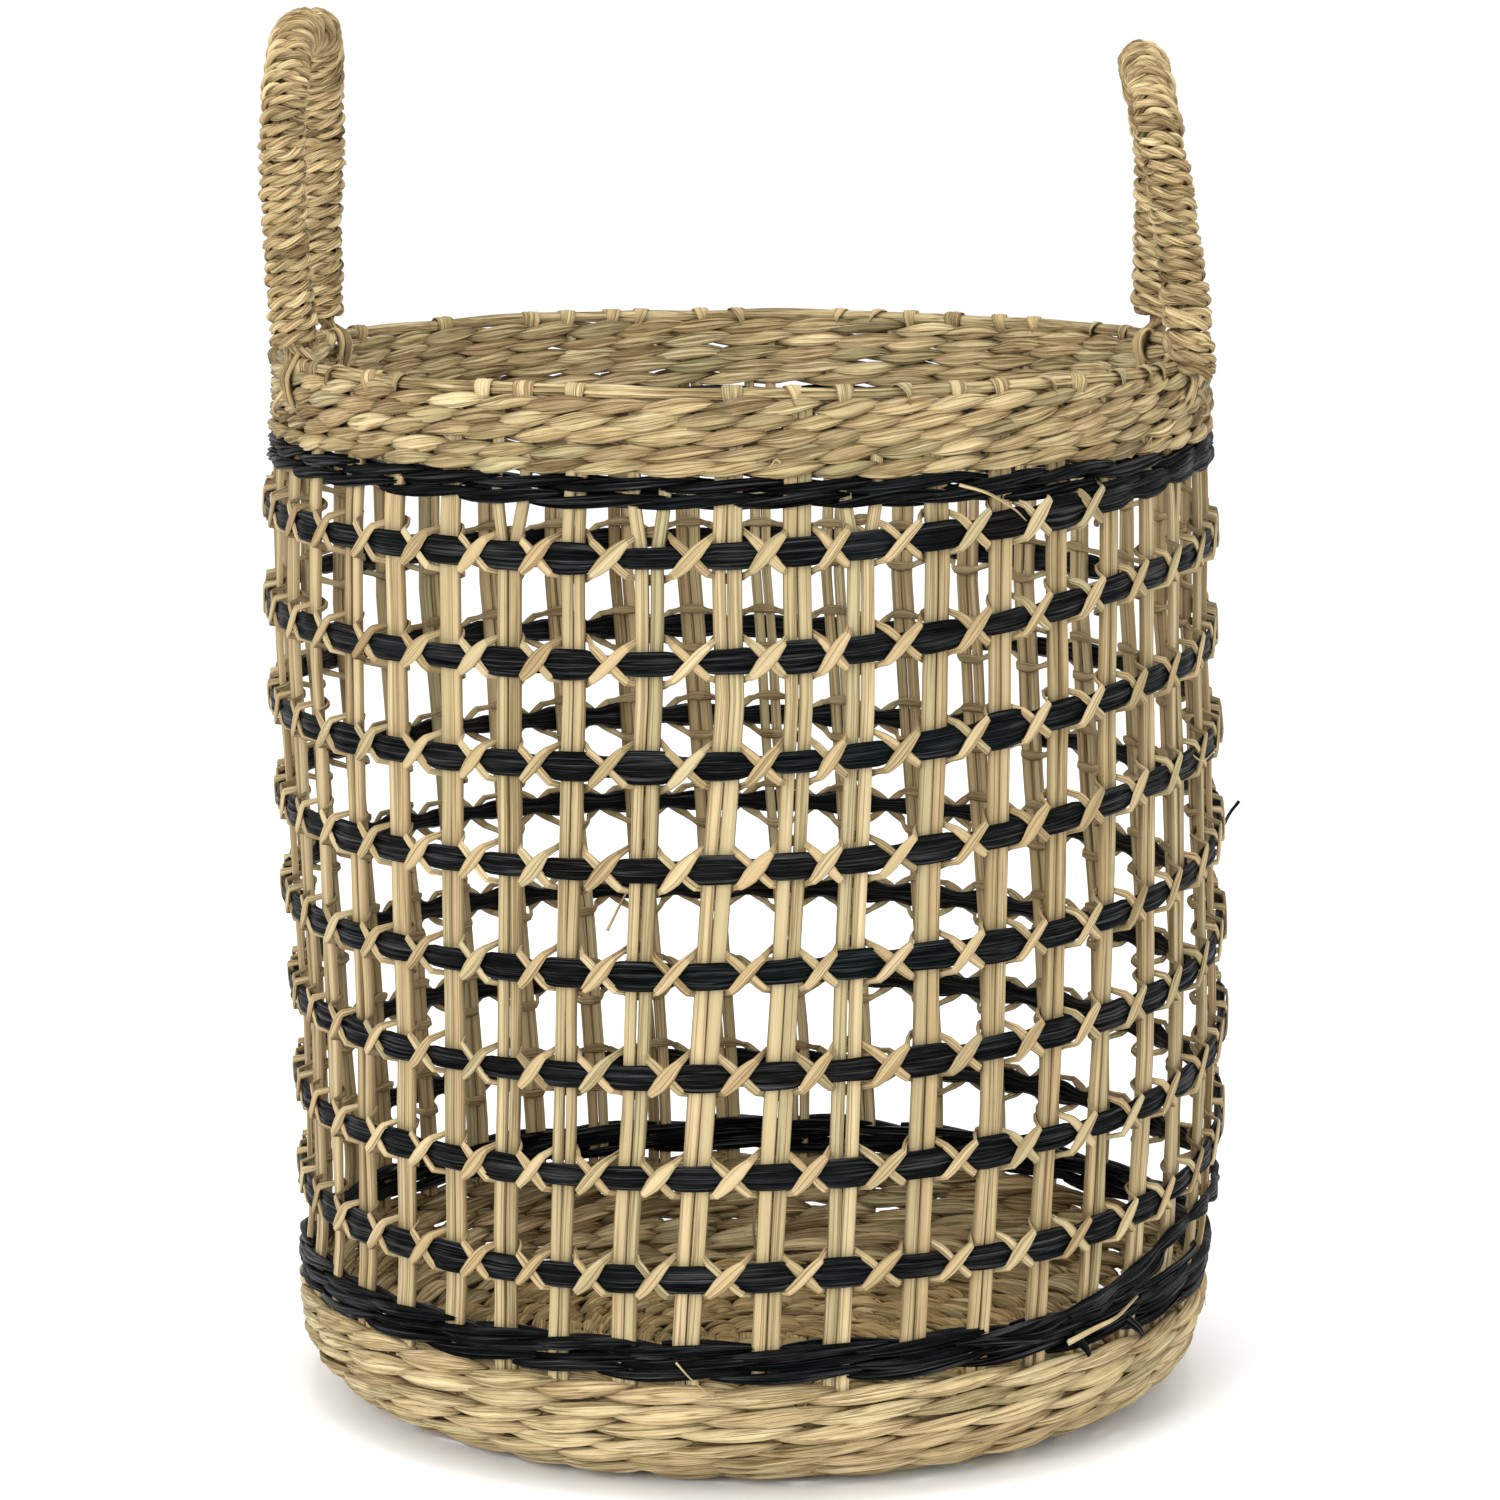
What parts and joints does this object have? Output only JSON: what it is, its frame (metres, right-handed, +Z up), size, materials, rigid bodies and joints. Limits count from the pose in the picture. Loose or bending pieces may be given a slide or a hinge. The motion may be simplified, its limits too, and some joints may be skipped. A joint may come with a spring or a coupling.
{
  "type": "woven storage basket",
  "caption": "Round seagrass storage basket with an openwork wall of straw stakes and black weft, a closed woven floor and two upright rope-wrapped handles.",
  "frame": {"origin": "centre of the base, on the floor plane", "axes": "+Z up, front faces -Y, the handles stand at +X and -X"},
  "size_m": [0.3634, 0.3638, 0.524],
  "materials": {
    "natural_seagrass": "dry twisted leaf, matt with a slight sheen, straw to greenish tan",
    "floor_seagrass": "dry twisted leaf, browner, matt",
    "straw_stakes": "flat pale straw strips with fine lengthwise lines, slight sheen",
    "black_seagrass": "dyed blue-black leaf, creased, semi-gloss",
    "rope_cord": "two-ply twisted leaf cord, matt"
  },
  "bodies": {
    "basket": {"floor_start_patch": "floor_seagrass", "floor_weave": "floor_seagrass", "foot_weave": "natural_seagrass", "long_stakes": "straw_stakes", "short_stakes": "straw_stakes", "lower_black_band": "black_seagrass", "openwork_strand_1": "black_seagrass", "openwork_lashing_1": "straw_stakes", "openwork_strand_2": "black_seagrass", "openwork_lashing_2": "straw_stakes", "openwork_strand_3": "black_seagrass", "openwork_lashing_3": "straw_stakes", "openwork_strand_4": "black_seagrass", "openwork_lashing_4": "straw_stakes", "openwork_strand_5": "black_seagrass", "openwork_lashing_5": "straw_stakes", "openwork_strand_6": "black_seagrass", "openwork_lashing_6": "straw_stakes", "openwork_strand_7": "black_seagrass", "openwork_lashing_7": "straw_stakes", "openwork_strand_8": "black_seagrass", "openwork_lashing_8": "straw_stakes", "upper_black_band": "black_seagrass", "rim_weave": "natural_seagrass", "rim_rod": "natural_seagrass", "rim_bindings": "straw_stakes", "left_front_lashing": "straw_stakes", "left_back_lashing": "straw_stakes", "right_front_lashing": "straw_stakes", "right_back_lashing": "straw_stakes"},
    "left_handle": {"left_handle_core": "straw_stakes", "left_handle_wrap": "rope_cord"},
    "right_handle": {"right_handle_core": "straw_stakes", "right_handle_wrap": "rope_cord"}
  },
  "joints": [
    {"name": "left_handle_flex", "type": "hinge", "parent": "basket", "child": "left_handle", "pos_m": [-0.1645, 0, 0.4035], "axis": [0, 1, 0], "range_deg": [-12, 25], "stiffness_Nm_per_rad": 1},
    {"name": "right_handle_flex", "type": "hinge", "parent": "basket", "child": "right_handle", "pos_m": [0.1645, 0, 0.4035], "axis": [0, -1, 0], "range_deg": [-12, 25], "stiffness_Nm_per_rad": 1}
  ]
}
